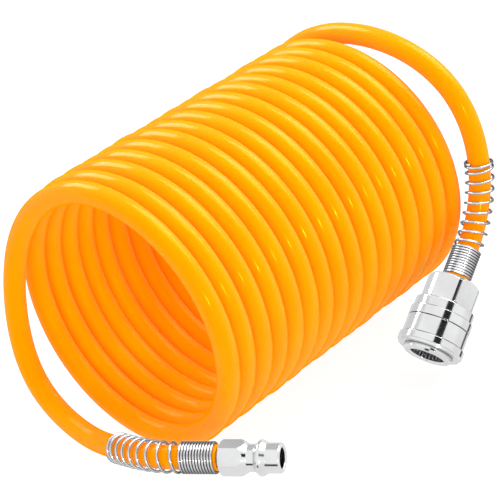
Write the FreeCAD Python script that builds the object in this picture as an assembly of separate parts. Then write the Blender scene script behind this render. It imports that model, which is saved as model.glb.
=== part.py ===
"""Recoil air hose with a quick-coupling plug on one end and a quick-coupling socket on the other.

Millimetres, +Z up. The coil lies on its side on the floor with its axis along +Y. The plug end is at the
front and the socket end at the back. The hose is drawn from a point on the coil's axis at the front of the
coil, and the whole is then moved so that the origin is on the floor under the middle. Both fittings are
drawn along +Z in their own frames, with height 0 where the hose ends, and are then placed on the hose.
"""
import FreeCAD, Part
import math
import os

V = FreeCAD.Vector

# hose and coil
HOSE_R = 4.0
HOSE_BORE_R = 2.5
COIL_R = 48.5
PITCH = 8.2
TURNS = 15
COIL_START = V(0, 2.05, 0)

# where each tail ends, which way its fitting points, and the points the tail bends through
PLUG_AT = V(55.33, -12.62, -27.61)
PLUG_WAY = V(0.888, 0.456, 0.062).normalize()
PLUG_TAIL = [V(-34, 0.5, 32.5), V(-47, -3.2, 1), V(-38, -9, -33), V(-4.5, -15, -42), V(13, -18.5, -37)]
SOCKET_AT = V(61.0, 111.3, -23.7)
SOCKET_WAY = V(0.105, -0.791, -0.603).normalize()
SOCKET_TAIL = [V(-36, 135.5, 32), V(4.5, 136, 51.6), V(45, 135, 40.5), V(57, 134.8, 8)]
STRAIGHT = 13.5

# the point that becomes the origin: on the floor, under the middle of the whole hose
UNDER_MIDDLE = V(12.13, 56.99, -52.5)

# hose barb and the hose pushed over it
BARB_R = 3.0
BARB_START = -11.0
BARB_BORE_R = 1.9
STRETCHED_R = 4.4
SNUG = 0.02

# spring guard over the hose beside each fitting
GUARD_WIRE_R = 0.475
GUARD_R = 5.0
PLUG_GUARD_RINGS = 12
SOCKET_GUARD_RINGS = 11
GUARD_CLOSED_PITCH = 1.0
GUARD_OPEN_RINGS = 8
GUARD_OPEN_PITCH = 4.0
GUARD_END_RINGS = 1.5
GUARD_START = -0.7

# plug
PLUG_HEX = 10.5
PLUG_HEX_ROUND_R = 6.15
PLUG_HEX_TOP = 7.8
PLUG_NECK_R = 4.6
PLUG_BEAD_R = 6.0
PLUG_BEAD_START = 14.4
PLUG_TIP_R = 5.0
PLUG_TOP = 21.8
PLUG_BORE_R = 3.4
PLUG_ROLL = 19.5

# socket body and adaptor
SOCKET_HEX = 18.0
SOCKET_HEX_ROUND_R = 9.9
ADAPTOR_TOP = 11.0
THREAD_R = 7.2
THREAD_START = 5.5
BODY_R = 7.85
NOSE_R = 9.1
NOSE_START = 29.05
NOSE_TOP = 31.0
CHAMBER_R = 5.6
CHAMBER_START = 2.2
SEAT = (11.6, 13.0)
SEAT_HOLE_R = 4.4
TIP_BORE_R = 5.05
FRONT_BORE_R = 6.05
FRONT_BORE_START = 18.2
LEAD_BORE_R = 6.3
LEAD_BORE_START = 25.6
LEAD_RELIEF_R = 6.6
LEAD_RELIEF_START = 25.4
SEAL_GROOVE = (15.3, 16.9)
SOCKET_ROLL = 28.25

# locking balls, sleeve with its outer bands (start, end, radius) and the cone that holds the balls in
BALLS = 6
BALL_R = 1.75
BALL_HEIGHT = 23.3
BALL_CENTRE_R = 6.35
BALL_HOLE_R = 1.80
SLEEVE_BANDS = ((11.4, 14.8, 11.0), (15.1, 18.4, 11.6), (18.8, 25.2, 11.5), (25.6, 28.0, 12.2))
BAND_EDGE = 0.35
SLEEVE_BORE_R = 7.93
SKIRT_BORE_R = 10.1
CONE_R_AT_BALL = 8.35
CONE_SLOPE = 1.45 / 3.0
CONE_END = 27.1

# small springs inside the socket
SLEEVE_SPRING = dict(mean_r=8.55, wire_r=0.45, low=11.0, high=20.4, open_rings=3.0)
VALVE_SPRING = dict(mean_r=4.6, wire_r=0.225, low=2.2, high=9.1, open_rings=1.5)

TOUCH = 0.01


# ---------------------------------------------------------------- turned and hexagonal shapes

def turned(outline):
    """Solid turned about Z from (radius, height) corners."""
    corners = [V(r, 0, h) for r, h in outline]
    face = Part.Face(Part.makePolygon(corners + corners[:1]))
    solid = face.revolve(V(0, 0, 0), V(0, 0, 1), 360)
    if solid.Volume < 0:
        solid.reverse()
    return solid


def tube(outer, inner, low, high):
    """Plain ring between two radii and two heights."""
    return turned([(inner, low), (outer, low), (outer, high), (inner, high)])


def hex_prism(across_flats, low, high, roll):
    """Hexagonal bar between two heights, with its first flat turned by roll degrees."""
    corner_r = across_flats / math.sqrt(3.0)
    turns = [math.radians(roll + 30.0 + 60.0 * k) for k in range(7)]
    corners = [V(corner_r * math.cos(a), corner_r * math.sin(a), low) for a in turns]
    return Part.Face(Part.makePolygon(corners)).extrude(V(0, 0, high - low))


def round_rims(solid, radius, spots):
    """Round the circular edges of a turned solid at the given (radius, height) spots."""
    rims = []
    for edge in solid.Edges:
        if not isinstance(edge.Curve, Part.Circle):
            continue
        ring = edge.Curve
        if any(abs(ring.Radius - r) < TOUCH and abs(ring.Center.z - h) < TOUCH for r, h in spots):
            rims.append(edge)
    return solid.makeFillet(radius, rims)


def barb(root_r):
    """Three hose teeth on a thin stem that runs into the fitting at root_r."""
    teeth = [(BARB_BORE_R, BARB_START), (BARB_R - 0.45, BARB_START)]
    for start in (BARB_START, BARB_START + 3.2, BARB_START + 6.4):
        teeth += [(BARB_R, start + 1.7), (BARB_R, start + 2.1), (BARB_R - 0.4, start + 2.5)]
        teeth.append((BARB_R - 0.4, start + 3.2))
    return turned(teeth + [(BARB_R - 0.4, 1.2), (root_r, 1.2), (root_r, 1.6), (BARB_BORE_R, 1.6)])


# ---------------------------------------------------------------- lines in space

def smooth_curve(points, **ways):
    """Smooth curve through the points, spaced by their distances apart."""
    marks = [0.0]
    for before, after in zip(points, points[1:]):
        marks.append(marks[-1] + (after - before).Length)
    curve = Part.BSplineCurve()
    curve.interpolate(Points=points, Parameters=marks, Scale=False, **ways)
    return curve


def half_rings(start, way, side, radius, rises):
    """Half circles round a straight axis, joined smoothly. Each leans so that it climbs by its rise."""
    edges = []
    for rise in rises:
        centre = start + way * (rise / 2)
        lean = start + side * radius - centre
        across = way.cross(side) * lean.Length
        edges.append(Part.Arc(centre + lean, centre + across, centre - lean).toShape())
        start = start + way * rise
        side = side * -1
    return edges


def start_of(edge):
    """First point of an edge and the direction in which it sets off."""
    return edge.valueAt(edge.FirstParameter), edge.tangentAt(edge.FirstParameter)


def end_of(edge):
    """Last point of an edge and the direction in which it arrives."""
    return edge.valueAt(edge.LastParameter), edge.tangentAt(edge.LastParameter)


def sweep(edges, radius, bore=0.0):
    """Round bar or tube along edges that run smoothly into one another."""
    start, way = start_of(edges[0])
    face = Part.Face(Part.Wire([Part.makeCircle(radius, start, way)]))
    if bore:
        face = face.cut(Part.Face(Part.Wire([Part.makeCircle(bore, start, way)]))).Faces[0]
    return Part.Wire(edges).makePipe(face)


def carried_frames(line):
    """(distance, point, side, other side) along a line, with the sides carried on without twisting."""
    frames = []
    distance = 0.0
    side = V(1, 0, 0)
    for i, point in enumerate(line):
        way = line[min(i + 1, len(line) - 1)] - line[max(i - 1, 0)]
        way.normalize()
        side = (side - way * side.dot(way)).normalize()
        if i:
            distance += (point - line[i - 1]).Length
        frames.append((distance, point, side, way.cross(side)))
    return frames


def between(a, b, part):
    """Vector part of the way from a to b."""
    return a * (1 - part) + b * part


def rings_along(frames, along, radius, runs, before):
    """Edges of a wire that goes on round a curved line. Each run is (number of rings, advance per ring)."""
    steps = 16
    points = []
    place = 0
    for rings, advance in runs:
        for _ in range(round(rings * steps)):
            while place < len(frames) - 2 and frames[place + 1][0] < along:
                place += 1
            start, end = frames[place], frames[place + 1]
            part = (along - start[0]) / (end[0] - start[0])
            angle = 2 * math.pi * len(points) / steps
            side = between(start[2], end[2], part).normalize()
            other = between(start[3], end[3], part).normalize()
            out = side * math.cos(angle) + other * math.sin(angle)
            points.append(between(start[1], end[1], part) + out * radius)
            arriving = other * math.cos(angle) - side * math.sin(angle)
            along += advance / steps
    points[0], setting_off = end_of(before)
    curve = smooth_curve(points, InitialTangent=setting_off, FinalTangent=arriving)
    knots = curve.getKnots()
    joins = knots[:-steps // 2:steps] + knots[-1:]
    return [curve.toShape(a, b) for a, b in zip(joins, joins[1:])]


def straight_spring(mean_r, wire_r, low, high, open_rings):
    """Compression spring about Z between two heights, with a closed ring at each end."""
    closed = 2.05 * wire_r
    open_pitch = (high - low - 2 * wire_r - 2 * closed) / open_rings
    rises = [closed / 2] * 2 + [open_pitch / 2] * round(2 * open_rings) + [closed / 2] * 2
    return sweep(half_rings(V(0, 0, low + wire_r), V(0, 0, 1), V(1, 0, 0), mean_r, rises), wire_r)


# ---------------------------------------------------------------- hose

def hose_end():
    """The last straight of the hose, along Z up to height 0, widened over the barb."""
    outer = [(HOSE_R, -STRAIGHT), (STRETCHED_R, BARB_START + 1.5), (STRETCHED_R, -0.5)]
    outer.append((STRETCHED_R - 0.3, 0))
    inner = [(BARB_R + SNUG, 0), (BARB_R + SNUG, BARB_START - 0.1), (HOSE_BORE_R, -STRAIGHT)]
    return turned(outer + inner)


def coil_turn(before):
    """One turn of the coil's centre line, from the top of the coil after so many turns."""
    start = COIL_START + V(0, PITCH * before, 0)
    return half_rings(start, V(0, 1, 0), V(0, 0, 1), COIL_R, [PITCH / 2] * 2)


def last_bend():
    """Last three quarters of a turn, before the hose leaves the coil at the back."""
    whole, cut_short = coil_turn(TURNS)
    middle = (cut_short.FirstParameter + cut_short.LastParameter) / 2
    return [whole, cut_short.Curve.toShape(cut_short.FirstParameter, middle)]


def tail_edge(coil_end, leaving, tail, at, way):
    """Centre line of a tail, from the coil to the start of its last straight."""
    points = [coil_end] + tail + [at - way * STRAIGHT]
    return smooth_curve(points, InitialTangent=leaving, FinalTangent=way).toShape()


def placed(shape, at, way):
    """Shape moved from its own frame onto the end of a tail."""
    shape.Placement = FreeCAD.Placement(at, FreeCAD.Rotation(V(0, 0, 1), way))
    return shape


def hose_tail(edges, at, way):
    """Tail of the hose along its edges, with the end that is pushed onto the fitting."""
    return sweep(edges, HOSE_R, HOSE_BORE_R).fuse(placed(hose_end(), at, way))


def guard_spring(edge, at, way, closed_rings):
    """Spring guard: closed rings beside the fitting, open rings along the hose, then a closed end."""
    back = [at + way * GUARD_START]
    back += [at - way * k for k in range(1, math.ceil(STRAIGHT))]
    back += edge.discretize(round(edge.Length))[::-1]
    frames = carried_frames(back)
    rises = [GUARD_CLOSED_PITCH / 2] * (2 * closed_rings)
    closed = half_rings(back[0], way * -1, frames[0][2], GUARD_R, rises)
    runs = [(GUARD_OPEN_RINGS, GUARD_OPEN_PITCH), (GUARD_END_RINGS, GUARD_CLOSED_PITCH)]
    spread = rings_along(frames, sum(rises), GUARD_R, runs, closed[-1])
    return sweep(closed + spread, GUARD_WIRE_R)


# ---------------------------------------------------------------- plug

def plug():
    """Plug: barb, hexagon, neck, locking bead and sealing tip round one air bore."""
    top, bead = PLUG_HEX_TOP, PLUG_BEAD_START
    bar = turned([(0, 1.0), (PLUG_HEX_ROUND_R - 0.6, 1.0), (PLUG_HEX_ROUND_R, 1.6),
                  (PLUG_HEX_ROUND_R, top), (PLUG_NECK_R + 0.15, top + 2.4), (PLUG_NECK_R, top + 2.7),
                  (0, top + 2.7)])
    bar = bar.common(hex_prism(PLUG_HEX, 1.0, top + 2.7, PLUG_ROLL))
    tip = turned([(0, top + 2.2), (PLUG_NECK_R, top + 2.2), (PLUG_NECK_R, bead - 1.5), (PLUG_BEAD_R, bead),
                  (PLUG_BEAD_R, bead + 0.9), (PLUG_TIP_R, bead + 2.5), (PLUG_TIP_R, PLUG_TOP - 0.4),
                  (PLUG_TIP_R - 0.4, PLUG_TOP), (0, PLUG_TOP)])
    tip = round_rims(tip, 0.5, [(PLUG_BEAD_R, bead), (PLUG_BEAD_R, bead + 0.9)])
    solid = bar.fuse(tip).fuse(barb(PLUG_HEX_ROUND_R - 0.9))
    bore = turned([(0, 0.5), (BARB_BORE_R, 0.5), (BARB_BORE_R, 3.0), (PLUG_BORE_R, 4.2),
                   (PLUG_BORE_R, PLUG_TOP - 0.3), (PLUG_BORE_R + 0.3, PLUG_TOP), (0, PLUG_TOP)])
    return solid.cut(bore).removeSplitter()


# ---------------------------------------------------------------- socket

def socket_adaptor():
    """Hexagonal adaptor: hose barb behind, threaded cup and valve-spring chamber in front."""
    bar = turned([(0, 1.0), (SOCKET_HEX_ROUND_R - 1.4, 1.0), (SOCKET_HEX_ROUND_R, 2.2),
                  (SOCKET_HEX_ROUND_R, ADAPTOR_TOP - 0.4), (SOCKET_HEX_ROUND_R - 0.4, ADAPTOR_TOP),
                  (0, ADAPTOR_TOP)])
    bar = bar.common(hex_prism(SOCKET_HEX, 1.0, ADAPTOR_TOP, SOCKET_ROLL))
    solid = bar.fuse(barb(SOCKET_HEX_ROUND_R - 3.0))
    hollow = turned([(0, 0.5), (BARB_BORE_R, 0.5), (BARB_BORE_R, CHAMBER_START), (CHAMBER_R, CHAMBER_START),
                     (CHAMBER_R, THREAD_START - 0.1), (THREAD_R + SNUG, THREAD_START - 0.1),
                     (THREAD_R + SNUG, ADAPTOR_TOP), (0, ADAPTOR_TOP)])
    return solid.cut(hollow)


def ball_turns():
    """Angle of each locking ball."""
    return [360.0 / BALLS * k for k in range(BALLS)]


def socket_body():
    """Socket barrel: thread, valve seat, seal groove, ball holes, lead-in bore and nose flange."""
    outer = [(THREAD_R, THREAD_START), (THREAD_R, ADAPTOR_TOP), (BODY_R, ADAPTOR_TOP), (BODY_R, NOSE_START),
             (NOSE_R, NOSE_START), (NOSE_R, NOSE_TOP - 0.7), (NOSE_R - 0.7, NOSE_TOP)]
    lead = [(LEAD_BORE_R + 0.4, NOSE_TOP), (LEAD_BORE_R, NOSE_TOP - 0.5), (LEAD_BORE_R, LEAD_BORE_START),
            (LEAD_RELIEF_R, LEAD_BORE_START), (LEAD_RELIEF_R, LEAD_RELIEF_START)]
    inner = [(FRONT_BORE_R, LEAD_RELIEF_START), (FRONT_BORE_R, FRONT_BORE_START),
             (TIP_BORE_R, FRONT_BORE_START - 0.6), (TIP_BORE_R, SEAL_GROOVE[1]),
             (TIP_BORE_R + 1.25, SEAL_GROOVE[1]), (TIP_BORE_R + 1.25, SEAL_GROOVE[0]),
             (TIP_BORE_R, SEAL_GROOVE[0]), (TIP_BORE_R, SEAT[1]), (SEAT_HOLE_R, SEAT[1]),
             (SEAT_HOLE_R, SEAT[0]), (CHAMBER_R, SEAT[0]), (CHAMBER_R, THREAD_START)]
    solid = turned(outer + lead + inner)
    for degrees in ball_turns():
        solid = solid.cut(ball_hole(degrees))
    return solid


def ball_hole(degrees):
    """Radial hole for one ball, narrowed at its inner end so that the ball can't fall into the bore."""
    narrowing = 0.065 / 0.3
    inner_r = BALL_CENTRE_R - 1.2
    cutter = turned([(0, inner_r), (BALL_HOLE_R - narrowing * 1.2, inner_r), (BALL_HOLE_R, BALL_CENTRE_R),
                     (BALL_HOLE_R, BODY_R + 0.5), (0, BODY_R + 0.5)])
    return turned_out(cutter, degrees, BALL_HEIGHT)


def turned_out(shape, degrees, height):
    """Shape drawn along Z, laid radially outwards at an angle and height."""
    a = math.radians(degrees)
    lay = FreeCAD.Rotation(V(0, 0, 1), V(math.cos(a), math.sin(a), 0))
    shape.Placement = FreeCAD.Placement(V(0, 0, height), lay)
    return shape


def ball(degrees):
    """One locking ball, held in by the sleeve's cone."""
    a = math.radians(degrees)
    return Part.makeSphere(BALL_R, V(BALL_CENTRE_R * math.cos(a), BALL_CENTRE_R * math.sin(a), BALL_HEIGHT))


def sleeve():
    """Sleeve with grip bands outside; inside, from the back: spring skirt, land, ball cone and relief."""
    def cone_r(height):
        return CONE_R_AT_BALL + CONE_SLOPE * (height - BALL_HEIGHT)

    cone_start = BALL_HEIGHT - (CONE_R_AT_BALL - SLEEVE_BORE_R) / CONE_SLOPE
    outer = [(10.5, 11.1)]
    for start, end, band_r in SLEEVE_BANDS:
        outer += [(band_r - BAND_EDGE, start - 0.15), (band_r, start)]
        outer += [(band_r, end), (band_r - BAND_EDGE, end + 0.15)]
    outer.append((11.6, 29.0))
    inner = [(SLEEVE_BORE_R, 29.0), (SLEEVE_BORE_R, 28.2), (cone_r(CONE_END), 28.2),
             (cone_r(CONE_END), CONE_END), (SLEEVE_BORE_R, cone_start), (SLEEVE_BORE_R, 20.4),
             (SKIRT_BORE_R, 20.4), (SKIRT_BORE_R, 11.1)]
    return turned(outer + inner)


def valve_poppet():
    """Valve poppet: head on the spring, hollow stem with side windows that opens when pushed back."""
    head, stem_r = 10.6, SEAT_HOLE_R - 0.07
    solid = turned([(0, 9.1), (5.2, 9.1), (5.2, head), (stem_r, head), (stem_r, 18.0), (3.2, 18.0),
                    (3.2, 11.9), (0, 11.9)])
    for degrees in (0.0, 60.0, 120.0):
        window = Part.makeBox(12.0, 2.6, 2.8, V(-6.0, -1.3, 11.95))
        window.rotate(V(0, 0, 0), V(0, 0, 1), degrees)
        solid = solid.cut(window)
    return solid


def ring_seal(wire_r, mean_r, height):
    """O-ring about Z."""
    return Part.makeTorus(mean_r, wire_r, V(0, 0, height), V(0, 0, 1))


# ---------------------------------------------------------------- the whole hose

def build():
    """Every sub-part in place, by name."""
    parts = {}

    coil_end, inward = start_of(coil_turn(0)[0])
    plug_tail = tail_edge(coil_end, inward * -1, PLUG_TAIL, PLUG_AT, PLUG_WAY)
    parts["hose_plug_tail"] = hose_tail([plug_tail], PLUG_AT, PLUG_WAY)
    parts["plug_guard_spring"] = guard_spring(plug_tail, PLUG_AT, PLUG_WAY, PLUG_GUARD_RINGS)
    parts["plug_body"] = placed(plug(), PLUG_AT, PLUG_WAY)

    for k in range(TURNS):
        parts["hose_turn_%02d" % (k + 1)] = sweep(coil_turn(k), HOSE_R, HOSE_BORE_R)

    bend = last_bend()
    coil_end, outward = end_of(bend[-1])
    socket_tail = tail_edge(coil_end, outward, SOCKET_TAIL, SOCKET_AT, SOCKET_WAY)
    parts["hose_socket_tail"] = hose_tail(bend + [socket_tail], SOCKET_AT, SOCKET_WAY)
    parts["socket_guard_spring"] = guard_spring(socket_tail, SOCKET_AT, SOCKET_WAY, SOCKET_GUARD_RINGS)

    fittings = {
        "socket_adaptor": socket_adaptor(),
        "socket_body": socket_body(),
        "socket_sleeve": sleeve(),
        "sleeve_spring": straight_spring(**SLEEVE_SPRING),
        "valve_poppet": valve_poppet(),
        "valve_seal": tube(5.2, SEAT_HOLE_R - 0.05, 10.6, SEAT[0]),
        "valve_spring": straight_spring(**VALVE_SPRING),
        "plug_seal": ring_seal(0.7, 5.55, 16.1),
    }
    for k, degrees in enumerate(ball_turns()):
        fittings["locking_ball_%d" % (k + 1)] = ball(degrees)
    for name, shape in fittings.items():
        parts[name] = placed(shape, SOCKET_AT, SOCKET_WAY)
    for shape in parts.values():
        shape.translate(UNDER_MIDDLE * -1)
    return parts


os.makedirs("parts", exist_ok=True)
for name, shape in build().items():
    shape.exportStep("parts/%s.step" % name)
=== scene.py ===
"""Looks of the recoil air hose: orange hose, bright springs and bright couplings on a white floor."""
import bpy
import math
import numpy as np
from mathutils import Matrix, Vector


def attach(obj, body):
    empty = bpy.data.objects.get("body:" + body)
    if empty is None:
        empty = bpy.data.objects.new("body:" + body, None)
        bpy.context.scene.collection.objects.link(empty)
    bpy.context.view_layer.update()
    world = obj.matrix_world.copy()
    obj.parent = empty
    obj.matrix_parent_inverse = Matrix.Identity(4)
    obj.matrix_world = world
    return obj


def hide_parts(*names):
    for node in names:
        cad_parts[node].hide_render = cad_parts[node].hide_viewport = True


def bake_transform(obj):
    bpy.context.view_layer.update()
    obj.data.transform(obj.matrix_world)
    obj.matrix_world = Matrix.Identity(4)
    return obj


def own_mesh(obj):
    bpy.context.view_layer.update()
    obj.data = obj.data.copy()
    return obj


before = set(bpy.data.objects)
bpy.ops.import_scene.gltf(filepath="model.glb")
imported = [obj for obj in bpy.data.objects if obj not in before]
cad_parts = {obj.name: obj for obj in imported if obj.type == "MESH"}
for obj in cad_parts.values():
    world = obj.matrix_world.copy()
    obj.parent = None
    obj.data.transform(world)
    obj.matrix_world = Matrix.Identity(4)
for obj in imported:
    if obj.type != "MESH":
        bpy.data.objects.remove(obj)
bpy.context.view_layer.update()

MM = 0.001

# brightness of the surround, and of the same surround as mirrors see it
WORLD = 0.90
MIRRORED = 1.02
# the floor's own glow, and a painted glow on the hose that stands in for light coming through its wall
# into shaded places
FLOOR_GLOW = 0.88
HOSE_PAINTED_GLOW = 0.15

# dark panels that the metal mirrors: direction, half width in degrees, how dark
DARK_PANELS = (
    ((0.68, -0.15, 0.72), 12.5, 0.98),
    ((-0.95, 0.0, 0.3), 35.0, 0.25),
    ((-0.66, 0.45, 0.6), 35.0, 0.40),
    ((0.16, -0.93, -0.33), 8.0, 0.95),
    ((0.25, 0.78, -0.57), 7.0, 0.90),
)

# where painted shade darkens the metal as it turns away from the eye, a painted dark rim: slant from,
# slant to, dark from, dark to
FITTING_PAINTED_DARK_RIM = (0.70, 1.0, 0.0, 0.85)
WIRE_PAINTED_DARK_RIM = (0.15, 0.65, 0.0, 0.97)

# Lengths are in millimetres, in the hose's own frame: the coil's axis is +Y, from the front of the coil.
# UNDER_MIDDLE is the point on the floor under the middle of the hose, the origin of the finished part.
UNDER_MIDDLE = np.array((12.13, 56.99, -52.5))

# hose: the coil runs between two angles, and its stretch share is worked out over sixteen steps
HOSE_R = 4.0
HOSE_BORE_R = 2.5
COIL_R = 48.5
PITCH = 8.2
COIL_FROM = math.radians(90.0)
COIL_TO = math.radians(16 * 360.0)
STRETCH_STEPS = 16
SIDES_ROUND_HOSE = 24

# straight end of each tail, pushed over a barb
STRAIGHT = 13.5
WIDENED_R = 4.4
WIDENED_END_R = 4.1
WIDENED_BORE_R = 3.02

# each fitting's place and direction, and the points its tail passes through
PLUG_AT = np.array((55.33, -12.62, -27.61))
PLUG_WAY = np.array((0.888, 0.456, 0.062))
PLUG_WAY /= np.linalg.norm(PLUG_WAY)
PLUG_TAIL = [(-34, 0.5, 32.5), (-47, -3.2, 1), (-38, -9, -33), (-4.5, -15, -42), (13, -18.5, -37)]
SOCKET_AT = np.array((61.0, 111.3, -23.7))
SOCKET_WAY = np.array((0.105, -0.791, -0.603))
SOCKET_WAY /= np.linalg.norm(SOCKET_WAY)
SOCKET_TAIL = [(-36, 135.5, 32), (4.5, 136, 51.6), (45, 135, 40.5), (57, 134.8, 8)]

# spring guards: closed rings beside the fitting, open rings along the hose, then a closed end
GUARD_WIRE_R = 0.475
GUARD_R = 5.0
GUARD_START = -0.7
CLOSED_PITCH = 1.0
OPEN_PITCH = 4.0
OPEN_RINGS = 8
END_RINGS = 1.5
PLUG_GUARD_RINGS = 12
SOCKET_GUARD_RINGS = 11

# springs inside the socket: reach along the socket's axis, rings, and length when pressed
SLEEVE_SPRING = dict(mean_r=8.55, wire_r=0.45, low=11.0, high=20.4, rings=5.0, pressed=6.4)
VALVE_SPRING = dict(mean_r=4.6, wire_r=0.225, low=2.2, high=9.1, rings=3.5, pressed=2.1)
WIRE_STEPS = 40
SIDES_ROUND_WIRE = 10

# camera: place, direction, lens and the shift of the picture
CAMERA_AT = np.array((433.3, -359.1, 347.9))
CAMERA_WAY = (-0.6189, 0.6082, -0.4970)
CAMERA_AZIMUTH = math.radians(-45.5)
CAMERA_ROLL = math.radians(-8.0)
CAMERA_LENS = 138.96
CAMERA_SHIFT = (0.0148, -0.0306)


# ---------------------------------------------------------------- lines

def coil_point(angle):
    """Point on the coil's centre line; the turns are not quite equal, as on a real recoil hose."""
    radius = COIL_R - 0.16 * (1 - np.cos(0.37 * angle + 0.8)) - 0.12 * (1 - np.cos(0.21 * angle))
    y = PITCH * angle / (2 * math.pi) + 0.12 * np.sin(0.31 * angle + 2.0)
    return np.stack((-radius * np.cos(angle), y, radius * np.sin(angle)), axis=-1)


def bend_through(points, start_way, end_way, steps=60):
    """Points along a smooth curve through the given points, leaving and arriving along the given ways."""
    points = np.array(points, float)
    spans = np.linalg.norm(np.diff(points, axis=0), axis=1)
    count = len(points)
    left = np.zeros((count, count))
    right = np.zeros((count, 3))
    left[0, 0] = left[-1, -1] = 1.0
    right[0], right[-1] = start_way, end_way
    for i in range(1, count - 1):
        before, after = spans[i - 1], spans[i]
        left[i, i - 1:i + 2] = after, 2 * (before + after), before
        right[i] = 3 * after / before * (points[i] - points[i - 1])
        right[i] += 3 * before / after * (points[i + 1] - points[i])
    slopes = np.linalg.solve(left, right)
    t = (np.arange(steps) / steps)[:, None]
    line = []
    for i, span in enumerate(spans):
        here = (2 * t**3 - 3 * t**2 + 1) * points[i] + (t**3 - 2 * t**2 + t) * span * slopes[i]
        there = (3 * t**2 - 2 * t**3) * points[i + 1] + (t**3 - t**2) * span * slopes[i + 1]
        line.append(here + there)
    return np.vstack(line + [points[-1:]])


def distances(line):
    """Distance along a line of points to each of them."""
    return np.concatenate(([0.0], np.cumsum(np.linalg.norm(np.diff(line, axis=0), axis=1))))


def spaced(line, step):
    """The same line with points about step apart."""
    along = distances(line)
    marks = np.linspace(0, along[-1], max(2, round(along[-1] / step) + 1))
    return np.stack([np.interp(marks, along, line[:, k]) for k in range(3)], axis=1)


def tail_line(tail, coil_angle, sense, at, way):
    """Line of a tail from the coil to its fitting, with the last straight."""
    start = coil_point(coil_angle)
    leaving = (coil_point(coil_angle + 0.001) - start) * sense
    leaving /= np.linalg.norm(leaving)
    curve = bend_through([start] + tail + [at - way * STRAIGHT], leaving, way)
    end = at - way * STRAIGHT + way * np.arange(0.5, STRAIGHT + 0.1, 0.5)[:, None]
    return np.vstack((spaced(curve, 3.0), end))


def carried_frames(line):
    """Direction and two sides at each point of a line, with the sides carried on without twisting."""
    way = np.gradient(line, axis=0)
    way /= np.linalg.norm(way, axis=1)[:, None]
    side = np.zeros_like(line)
    last = np.array((0.0, 1.0, 0.0)) if abs(way[0, 1]) < 0.9 else np.array((1.0, 0.0, 0.0))
    for i, direction in enumerate(way):
        last = last - direction * (last @ direction)
        last /= np.linalg.norm(last)
        side[i] = last
    return way, side, np.cross(way, side)


def rings_round(line, radii, count):
    """Rings of count points round each point of a line."""
    _, side, other = carried_frames(line)
    turn = 2 * math.pi * np.arange(count) / count
    circle = side[:, None] * np.cos(turn)[:, None] + other[:, None] * np.sin(turn)[:, None]
    return line[:, None] + circle * np.asarray(radii)[:, None, None]


# ---------------------------------------------------------------- meshes

def make_piece(name, points, faces, material):
    """Smooth-shaded piece from points in the hose's frame in millimetres."""
    mesh = bpy.data.meshes.new(name)
    mesh.from_pydata(((points - UNDER_MIDDLE) * MM).tolist(), [], faces)
    mesh.polygons.foreach_set("use_smooth", [True] * len(mesh.polygons))
    mesh.materials.append(material)
    mesh.update()
    piece = bpy.data.objects.new(name, mesh)
    bpy.context.scene.collection.objects.link(piece)
    return piece


def skin(rings, count, first, inward=False):
    """Quads between neighbouring rings of count points, from point number first on."""
    faces = []
    for i in range(rings - 1):
        for k in range(count):
            a, b = first + i * count + k, first + i * count + (k + 1) % count
            quad = (a, b, b + count, a + count)
            faces.append(quad[::-1] if inward else quad)
    return faces


def capped_bar(name, line, radius, material):
    """Round bar along a line with flat ends."""
    count = SIDES_ROUND_WIRE
    rings = rings_round(line, np.full(len(line), radius), count)
    points = np.vstack((rings.reshape(-1, 3), line[:1], line[-1:]))
    faces = skin(len(line), count, 0)
    tip = len(line) * count
    last = (len(line) - 1) * count
    for k in range(count):
        faces.append((tip, (k + 1) % count, k))
        faces.append((tip + 1, last + k, last + (k + 1) % count))
    return make_piece(name, points, faces, material)


def coiled_line(line, radius, runs):
    """Points of a wire wound round a line. Each run is (number of rings, advance per ring)."""
    along = distances(line)
    _, side, other = carried_frames(line)
    marks = [0.0]
    for rings, advance in runs:
        for _ in range(round(rings * WIRE_STEPS)):
            marks.append(marks[-1] + advance / WIRE_STEPS)

    def at_marks(values):
        return np.stack([np.interp(marks, along, values[:, k]) for k in range(3)], axis=1)

    turn = (2 * math.pi * np.arange(len(marks)) / WIRE_STEPS)[:, None]
    return at_marks(line) + radius * (at_marks(side) * np.cos(turn) + at_marks(other) * np.sin(turn))


# ---------------------------------------------------------------- node materials

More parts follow.
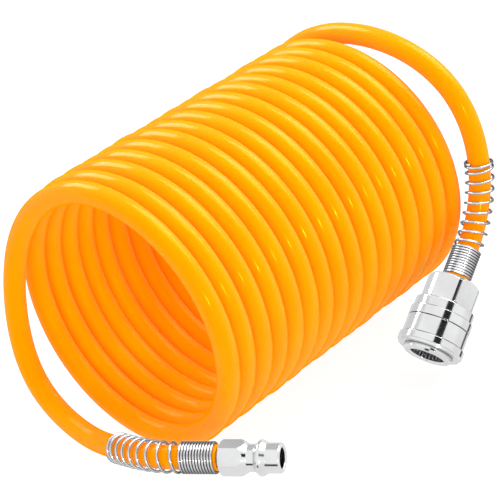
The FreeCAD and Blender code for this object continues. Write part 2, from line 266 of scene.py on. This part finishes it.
class Nodes:
    """Short names for building the node tree of a material or of the world."""

    def __init__(self, owner, shader):
        owner.use_nodes = True
        self.owner = owner
        self.tree = owner.node_tree
        self.surface = self.tree.nodes[shader]

    def add(self, kind, inputs=None, **settings):
        node = self.tree.nodes.new(kind)
        for key, value in settings.items():
            setattr(node, key, value)
        for key, value in (inputs or {}).items():
            self.feed(node.inputs[key], value)
        return node

    def feed(self, socket, value):
        if isinstance(value, bpy.types.NodeSocket):
            self.tree.links.new(value, socket)
        else:
            socket.default_value = value

    def noise(self, vector, scale, detail=3.0, roughness=0.5):
        node = self.add("ShaderNodeTexNoise", {"Vector": vector, "Scale": scale, "Detail": detail,
                                               "Roughness": roughness})
        return node.outputs["Fac"]

    def stretch(self, vector, scale):
        return self.add("ShaderNodeMapping", {"Vector": vector, "Scale": scale}).outputs["Vector"]

    def ramp(self, value, low, high, out_low, out_high):
        node = self.add("ShaderNodeMapRange", {"Value": value, "From Min": low, "From Max": high,
                                               "To Min": out_low, "To Max": out_high})
        return node.outputs["Result"]

    def mix(self, factor, first, second, blend="MIX"):
        node = self.add("ShaderNodeMix", data_type="RGBA", blend_type=blend)
        self.feed(node.inputs[0], factor)
        self.feed(node.inputs[6], first)
        self.feed(node.inputs[7], second)
        return node.outputs[2]

    def bump(self, height, strength, distance, before=None):
        inputs = {"Height": height, "Strength": strength, "Distance": distance}
        if before is not None:
            inputs["Normal"] = before
        return self.add("ShaderNodeBump", inputs).outputs["Normal"]

    def slant(self):
        """How far the surface turns away from the eye, from 0 to 1."""
        return self.add("ShaderNodeLayerWeight", {"Blend": 0.5}).outputs["Facing"]

    def math(self, operation, first, second):
        return self.add("ShaderNodeMath", {0: first, 1: second}, operation=operation).outputs[0]

    def vector_math(self, operation, first, second, output="Vector"):
        node = self.add("ShaderNodeVectorMath", {0: first, 1: second}, operation=operation)
        return node.outputs[output]

    def finish(self, **inputs):
        for key, value in inputs.items():
            self.feed(self.surface.inputs[key.replace("_", " ")], value)
        return self.owner


def material_nodes(name):
    """Nodes of a new material."""
    return Nodes(bpy.data.materials.new(name), "Principled BSDF")


def place(nodes):
    """Position on the object, which moves with it."""
    return nodes.add("ShaderNodeTexCoord").outputs["Object"]


def faces_the_axis(nodes):
    """1 on the inner side of the coil's turns, where the hose mirrors only other turns, and 0 outside."""
    geometry = nodes.add("ShaderNodeNewGeometry").outputs
    from_axis = nodes.vector_math("SUBTRACT", geometry["Position"], tuple(-UNDER_MIDDLE * MM))
    from_axis = nodes.vector_math("MULTIPLY", from_axis, (1.0, 0.0, 1.0))
    outward = nodes.vector_math("NORMALIZE", from_axis, (0.0, 0.0, 0.0))
    outside = nodes.vector_math("DOT_PRODUCT", outward, geometry["Normal"], "Value")
    return nodes.ramp(outside, -0.3, 0.3, 1.0, 0.0)


def hose_material():
    """Glossy, slightly see-through orange polyurethane, with drawn streaks along it and light scuffs, a
    painted glow for light through its wall and a deeper orange painted as shade where it turns from the
    eye.
    """
    n = material_nodes("orange_polyurethane")
    lay = n.add("ShaderNodeAttribute", attribute_name="hose_lay").outputs["Vector"]
    streaks = n.noise(n.stretch(lay, (1.0, 1.0, 0.02)), 900.0)
    patches = n.noise(lay, 28.0, 2.0)
    scuffs = n.ramp(n.noise(n.stretch(lay, (1.0, 1.0, 0.4)), 160.0, 5.0, 0.65), 0.60, 0.72, 0.0, 1.0)
    slant = n.slant()
    colour = n.mix(n.ramp(patches, 0.3, 0.7, 0.0, 1.0), (1.0, 0.295, 0.0, 1), (1.0, 0.330, 0.0, 1))
    colour = n.mix(n.ramp(streaks, 0.45, 0.75, 0.0, 0.12), colour, (1.0, 0.38, 0.004, 1))
    # painted shade: a deeper orange where the surface turns away from the eye
    colour = n.mix(n.ramp(slant, 0.30, 0.95, 0.0, 0.8), colour, (1.0, 0.230, 0.0, 1))
    rough = n.math("ADD", n.ramp(patches, 0.3, 0.7, 0.11, 0.17), n.ramp(scuffs, 0.0, 1.0, 0.0, 0.16))
    normal = n.bump(streaks, 0.10, 0.0002)
    normal = n.bump(n.noise(lay, 220.0, 2.0), 0.08, 0.0004, normal)
    less_inside = n.ramp(faces_the_axis(n), 0.0, 1.0, 1.0, 0.3)
    shine = n.math("MULTIPLY", n.ramp(slant, 0.35, 0.70, 0.42, 0.0), less_inside)
    # painted glow: the emission lights the hose evenly in place of light coming through its wall
    return n.finish(Base_Color=colour, Roughness=rough, Normal=normal, IOR=1.5,
                    Specular_IOR_Level=shine, Specular_Tint=(1.0, 0.72, 0.02, 1),
                    Subsurface_Weight=0.30, Subsurface_Radius=(1.0, 0.35, 0.03), Subsurface_Scale=0.003,
                    Emission_Color=(1.0, 0.235, 0.0, 1), Emission_Strength=HOSE_PAINTED_GLOW)


def metal_material(name, colour, worn, rough, turned_scale, painted_dark_rim):
    """Bright metal: fine turning marks, fine scratches, slow tone changes and soft edges, with a painted
    dark rim where it turns from the eye and painted shade in its grooves.
    """
    n = material_nodes(name)
    where = place(n)
    clouds = n.noise(where, 120.0, 3.0)
    marks = n.noise(where, turned_scale, 2.0)
    scratches = n.noise(n.stretch(where, (1.0, 0.08, 1.0)), 2600.0, 4.0, 0.7)
    tone = n.mix(n.ramp(clouds, 0.35, 0.7, 0.0, 1.0), colour, worn)
    # painted shade: the colour is darkened where the surface turns away from the eye
    tone = n.mix(n.ramp(n.slant(), *painted_dark_rim), tone, (0.05, 0.05, 0.055, 1))
    # painted shade: the colour is darkened where ambient occlusion finds grooves and gaps, such as between
    # spring rings
    painted_groove_shade = n.add("ShaderNodeAmbientOcclusion", {"Distance": 0.0009}, samples=6).outputs["AO"]
    tone = n.mix(n.ramp(painted_groove_shade, 0.35, 0.80, 0.9, 0.0), tone, (0.03, 0.03, 0.033, 1))
    scratched = n.ramp(scratches, 0.55, 0.75, rough, rough + 0.10)
    roughness = n.math("ADD", scratched, n.ramp(clouds, 0.4, 0.7, 0.0, 0.05))
    edge = n.add("ShaderNodeBevel", {"Radius": 0.00018}, samples=4).outputs["Normal"]
    normal = n.bump(marks, 0.05, 0.00005, edge)
    return n.finish(Base_Color=tone, Metallic=1.0, Roughness=roughness, Normal=normal)


def rubber_material():
    """Matt black rubber with a faint bloom."""
    n = material_nodes("black_rubber")
    where = place(n)
    bloom = n.noise(where, 400.0, 4.0)
    tone = n.mix(n.ramp(bloom, 0.45, 0.75, 0.0, 0.5), (0.012, 0.012, 0.013, 1), (0.05, 0.05, 0.052, 1))
    return n.finish(Base_Color=tone, Roughness=n.ramp(bloom, 0.3, 0.7, 0.55, 0.75),
                    Normal=n.bump(n.noise(where, 1500.0), 0.2, 0.0001))


orange = hose_material()
plate = metal_material("nickel_plate", (0.82, 0.825, 0.83, 1), (0.74, 0.74, 0.75, 1),
                       0.08, 1800.0, FITTING_PAINTED_DARK_RIM)
wire = metal_material("bright_spring_wire", (0.80, 0.80, 0.81, 1), (0.66, 0.66, 0.67, 1),
                      0.10, 2400.0, WIRE_PAINTED_DARK_RIM)
ball_steel = metal_material("polished_ball_steel", (0.72, 0.725, 0.73, 1), (0.6, 0.6, 0.61, 1),
                            0.06, 1200.0, FITTING_PAINTED_DARK_RIM)
brass = metal_material("turned_brass", (0.78, 0.52, 0.20, 1), (0.62, 0.39, 0.14, 1),
                       0.18, 1800.0, FITTING_PAINTED_DARK_RIM)
rubber = rubber_material()


# ---------------------------------------------------------------- hose

def hose_mesh(line, along):
    """Hollow hose along a line, widened over the barb at each end, with a flat ring at each cut end."""
    to_fitting = np.minimum(along, along[-1] - along)
    outer_r = np.interp(to_fitting, (0, 0.5, STRAIGHT - 2.5, STRAIGHT),
                        (WIDENED_END_R, WIDENED_R, WIDENED_R, HOSE_R))
    bore_r = np.interp(to_fitting, (0, STRAIGHT - 1.0, STRAIGHT),
                       (WIDENED_BORE_R, WIDENED_BORE_R, HOSE_BORE_R))
    count = SIDES_ROUND_HOSE
    rings = len(line)
    outside = rings_round(line, outer_r, count).reshape(-1, 3)
    inside = rings_round(line, bore_r, count).reshape(-1, 3)
    faces = skin(rings, count, 0) + skin(rings, count, rings * count, inward=True)
    for ring, flip in ((0, False), (rings - 1, True)):
        for k in range(count):
            a = ring * count + k
            b = ring * count + (k + 1) % count
            quad = (b, a, a + rings * count, b + rings * count)
            faces.append(quad[::-1] if flip else quad)
    return np.vstack((outside, inside)), faces


def mark_lay(hose, along):
    """Give each point its place on the straight, unbent hose, for streaks that run along it."""
    count = SIDES_ROUND_HOSE
    turn = 2 * math.pi * np.arange(count) / count
    lay = np.zeros((2, len(along), count, 3))
    for k, radius in enumerate((HOSE_R, HOSE_BORE_R)):
        lay[k, :, :, 0] = radius * np.cos(turn) * MM
        lay[k, :, :, 1] = radius * np.sin(turn) * MM
        lay[k, :, :, 2] = along[:, None] * MM
    hose.data.attributes.new("hose_lay", "FLOAT_VECTOR", "POINT").data.foreach_set("vector", lay.ravel())


def share_stretch(hose, along, coil_start):
    """Bake the hose's place into its points and work out each point's share of the coil's stretch, from
    the plug's end to the socket's end; the share is not stored.
    """
    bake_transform(hose)
    turn_length = math.hypot(2 * math.pi * COIL_R, PITCH)
    share = ((along - coil_start) / turn_length + 0.5) / STRETCH_STEPS
    share = np.tile(np.repeat(np.clip(share, 0, 1), SIDES_ROUND_HOSE), 2)


def make_hose():
    """One unbroken hose from the plug to the socket. Returns the lines of its two tails."""
    front = tail_line(PLUG_TAIL, COIL_FROM, -1, PLUG_AT, PLUG_WAY)[::-1]
    rear = tail_line(SOCKET_TAIL, COIL_TO, 1, SOCKET_AT, SOCKET_WAY)
    angles = np.linspace(COIL_FROM, COIL_TO, round((COIL_TO - COIL_FROM) / math.radians(4.0)) + 1)
    line = np.vstack((front[:-1], coil_point(angles), rear[1:]))
    along = distances(line)
    points, faces = hose_mesh(line, along)
    hose = make_piece("hose", points, faces, orange)
    hose.visible_glossy = False
    mark_lay(hose, along)
    share_stretch(hose, along, distances(front)[-1])
    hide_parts(*[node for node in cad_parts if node.startswith("hose_")])
    return front, rear


# ---------------------------------------------------------------- springs

def make_guard(name, line, at, way, body, closed_rings):
    """Spring guard from the fitting back along the last part of a tail."""
    back = spaced(np.vstack((at + way * GUARD_START, line[::-1][2:])), 0.5)
    runs = [(closed_rings, CLOSED_PITCH), (OPEN_RINGS, OPEN_PITCH), (END_RINGS, CLOSED_PITCH)]
    piece = capped_bar(name, coiled_line(back, GUARD_R, runs), GUARD_WIRE_R, wire)
    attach(piece, body)
    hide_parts(name.replace("_wire", ""))


def make_inner_spring(name, node, body, joint, mean_r, wire_r, low, high, rings, pressed):
    """Compression spring inside the socket, attached to its body."""
    closed = 2.05 * wire_r
    free = high - low - 2 * wire_r - 2 * closed
    axis = SOCKET_AT + SOCKET_WAY * np.linspace(low + wire_r, high, 40)[:, None]
    runs = [(1.0, closed), (rings - 2.0, free / (rings - 2.0)), (1.0, closed)]
    piece = capped_bar(name, coiled_line(axis, mean_r, runs), wire_r, wire)
    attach(piece, body)
    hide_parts(node)
    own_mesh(piece)


front_line, rear_line = make_hose()
make_guard("plug_guard_spring_wire", front_line[::-1], PLUG_AT, PLUG_WAY, "plug_end", PLUG_GUARD_RINGS)
make_guard("socket_guard_spring_wire", rear_line, SOCKET_AT, SOCKET_WAY, "socket_end", SOCKET_GUARD_RINGS)
make_inner_spring("sleeve_spring_wire", "sleeve_spring", "spring_ring", "sleeve_slide", **SLEEVE_SPRING)
make_inner_spring("valve_spring_wire", "valve_spring", "socket_end", "valve_slide", **VALVE_SPRING)


# ---------------------------------------------------------------- fittings

finishes = {"plug_body": plate, "socket_adaptor": plate, "socket_body": plate, "socket_sleeve": plate,
            "valve_poppet": brass, "valve_seal": rubber, "plug_seal": rubber}
for name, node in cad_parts.items():
    finish = finishes.get(name, ball_steel if name.startswith("locking_ball") else None)
    if finish:
        node.data.materials.clear()
        node.data.materials.append(finish)


# ---------------------------------------------------------------- floor, light and camera

def make_floor():
    """Wide pale floor just under the hose."""
    mesh = bpy.data.meshes.new("floor")
    half = 6.0
    corners = [(-half, -half, 0), (half, -half, 0), (half, half, 0), (-half, half, 0)]
    mesh.from_pydata(corners, [], [(0, 1, 2, 3)])
    floor = bpy.data.objects.new("floor", mesh)
    floor.location.z = -0.0002
    bpy.context.scene.collection.objects.link(floor)
    n = material_nodes("pale_floor")
    mottle = n.noise(place(n), 6.0)
    tone = n.mix(mottle, (0.14, 0.14, 0.14, 1), (0.16, 0.16, 0.16, 1))
    mesh.materials.append(n.finish(Base_Color=tone, Roughness=0.6, Emission_Color=(1, 1, 1, 1),
                                   Emission_Strength=FLOOR_GLOW))
    floor.visible_glossy = False


def make_softbox(name, azimuth, elevation, distance, size, power):
    """Square area light aimed at the middle of the hose."""
    light = bpy.data.lights.new(name, "AREA")
    light.size, light.energy = size, power
    lamp = bpy.data.objects.new(name, light)
    turn = math.radians(azimuth)
    rise = math.radians(elevation)
    back = Vector((math.sin(turn) * math.cos(rise), -math.cos(turn) * math.cos(rise), math.sin(rise)))
    lamp.location = Vector((0, 0, 0.05)) + back * distance
    lamp.rotation_mode = "QUATERNION"
    lamp.rotation_quaternion = back.to_track_quat("Z", "Y")
    bpy.context.scene.collection.objects.link(lamp)


def make_inside_light():
    """Weak light inside the coil, in place of the light that bounces about in there."""
    light = bpy.data.lights.new("inside", "POINT")
    light.energy = 0.03
    light.shadow_soft_size = 0.015
    lamp = bpy.data.objects.new("inside", light)
    lamp.location = (np.array((0.0, 22.0, 0.0)) - UNDER_MIDDLE) * MM
    lamp.visible_camera = False
    lamp.visible_glossy = False
    bpy.context.scene.collection.objects.link(lamp)


def make_world():
    """Even surround; mirrors see it brighter, greyer below and with the dark panels of a photo studio."""
    n = Nodes(bpy.data.worlds.new("studio"), "Background")
    way = n.add("ShaderNodeTexCoord").outputs["Generated"]
    height = n.add("ShaderNodeSeparateXYZ", {"Vector": way}).outputs["Z"]
    dark = n.ramp(height, -0.2, 0.0, 0.10, 0.0)
    for towards, half_angle, depth in DARK_PANELS:
        unit = Vector(towards).normalized()
        facing = n.vector_math("DOT_PRODUCT", way, unit, "Value")
        edge = math.cos(math.radians(half_angle * 1.15))
        full = math.cos(math.radians(half_angle * 0.85))
        dark = n.math("MAXIMUM", dark, n.ramp(facing, edge, full, 0.0, depth))
    seen = n.mix(dark, (MIRRORED, MIRRORED, MIRRORED, 1), (0.0, 0.0, 0.0, 1))
    mirrored = n.add("ShaderNodeLightPath").outputs["Is Glossy Ray"]
    colour = n.mix(mirrored, (WORLD, WORLD, WORLD, 1), seen)
    bpy.context.scene.world = n.finish(Color=colour, Strength=1.0)


def make_camera():
    """Camera at the photographed angle, rolled about its own axis."""
    way = Vector(CAMERA_WAY).normalized()
    level = Vector((math.cos(CAMERA_AZIMUTH), -math.sin(CAMERA_AZIMUTH), 0.0))
    above = level.cross(way)
    right = level * math.cos(CAMERA_ROLL) + above * math.sin(CAMERA_ROLL)
    up = above * math.cos(CAMERA_ROLL) - level * math.sin(CAMERA_ROLL)
    camera = bpy.data.cameras.new("camera")
    camera.sensor_width = 36.0
    camera.lens = CAMERA_LENS
    camera.shift_x, camera.shift_y = CAMERA_SHIFT
    camera.clip_start = 0.05
    camera.clip_end = 20.0
    holder = bpy.data.objects.new("camera", camera)
    position = (CAMERA_AT - UNDER_MIDDLE) * MM
    holder.matrix_world = Matrix.Translation(position) @ Matrix((right, up, -way)).transposed().to_4x4()
    bpy.context.scene.collection.objects.link(holder)
    bpy.context.scene.camera = holder


make_floor()
make_softbox("key", 165, 52, 1.3, 1.1, 16)
make_softbox("left", -95, 38, 1.4, 0.7, 9)
make_softbox("low_right", 61, 11, 1.2, 0.12, 2.0)
make_inside_light()
make_world()
make_camera()
bpy.context.scene.view_settings.view_transform = "Standard"
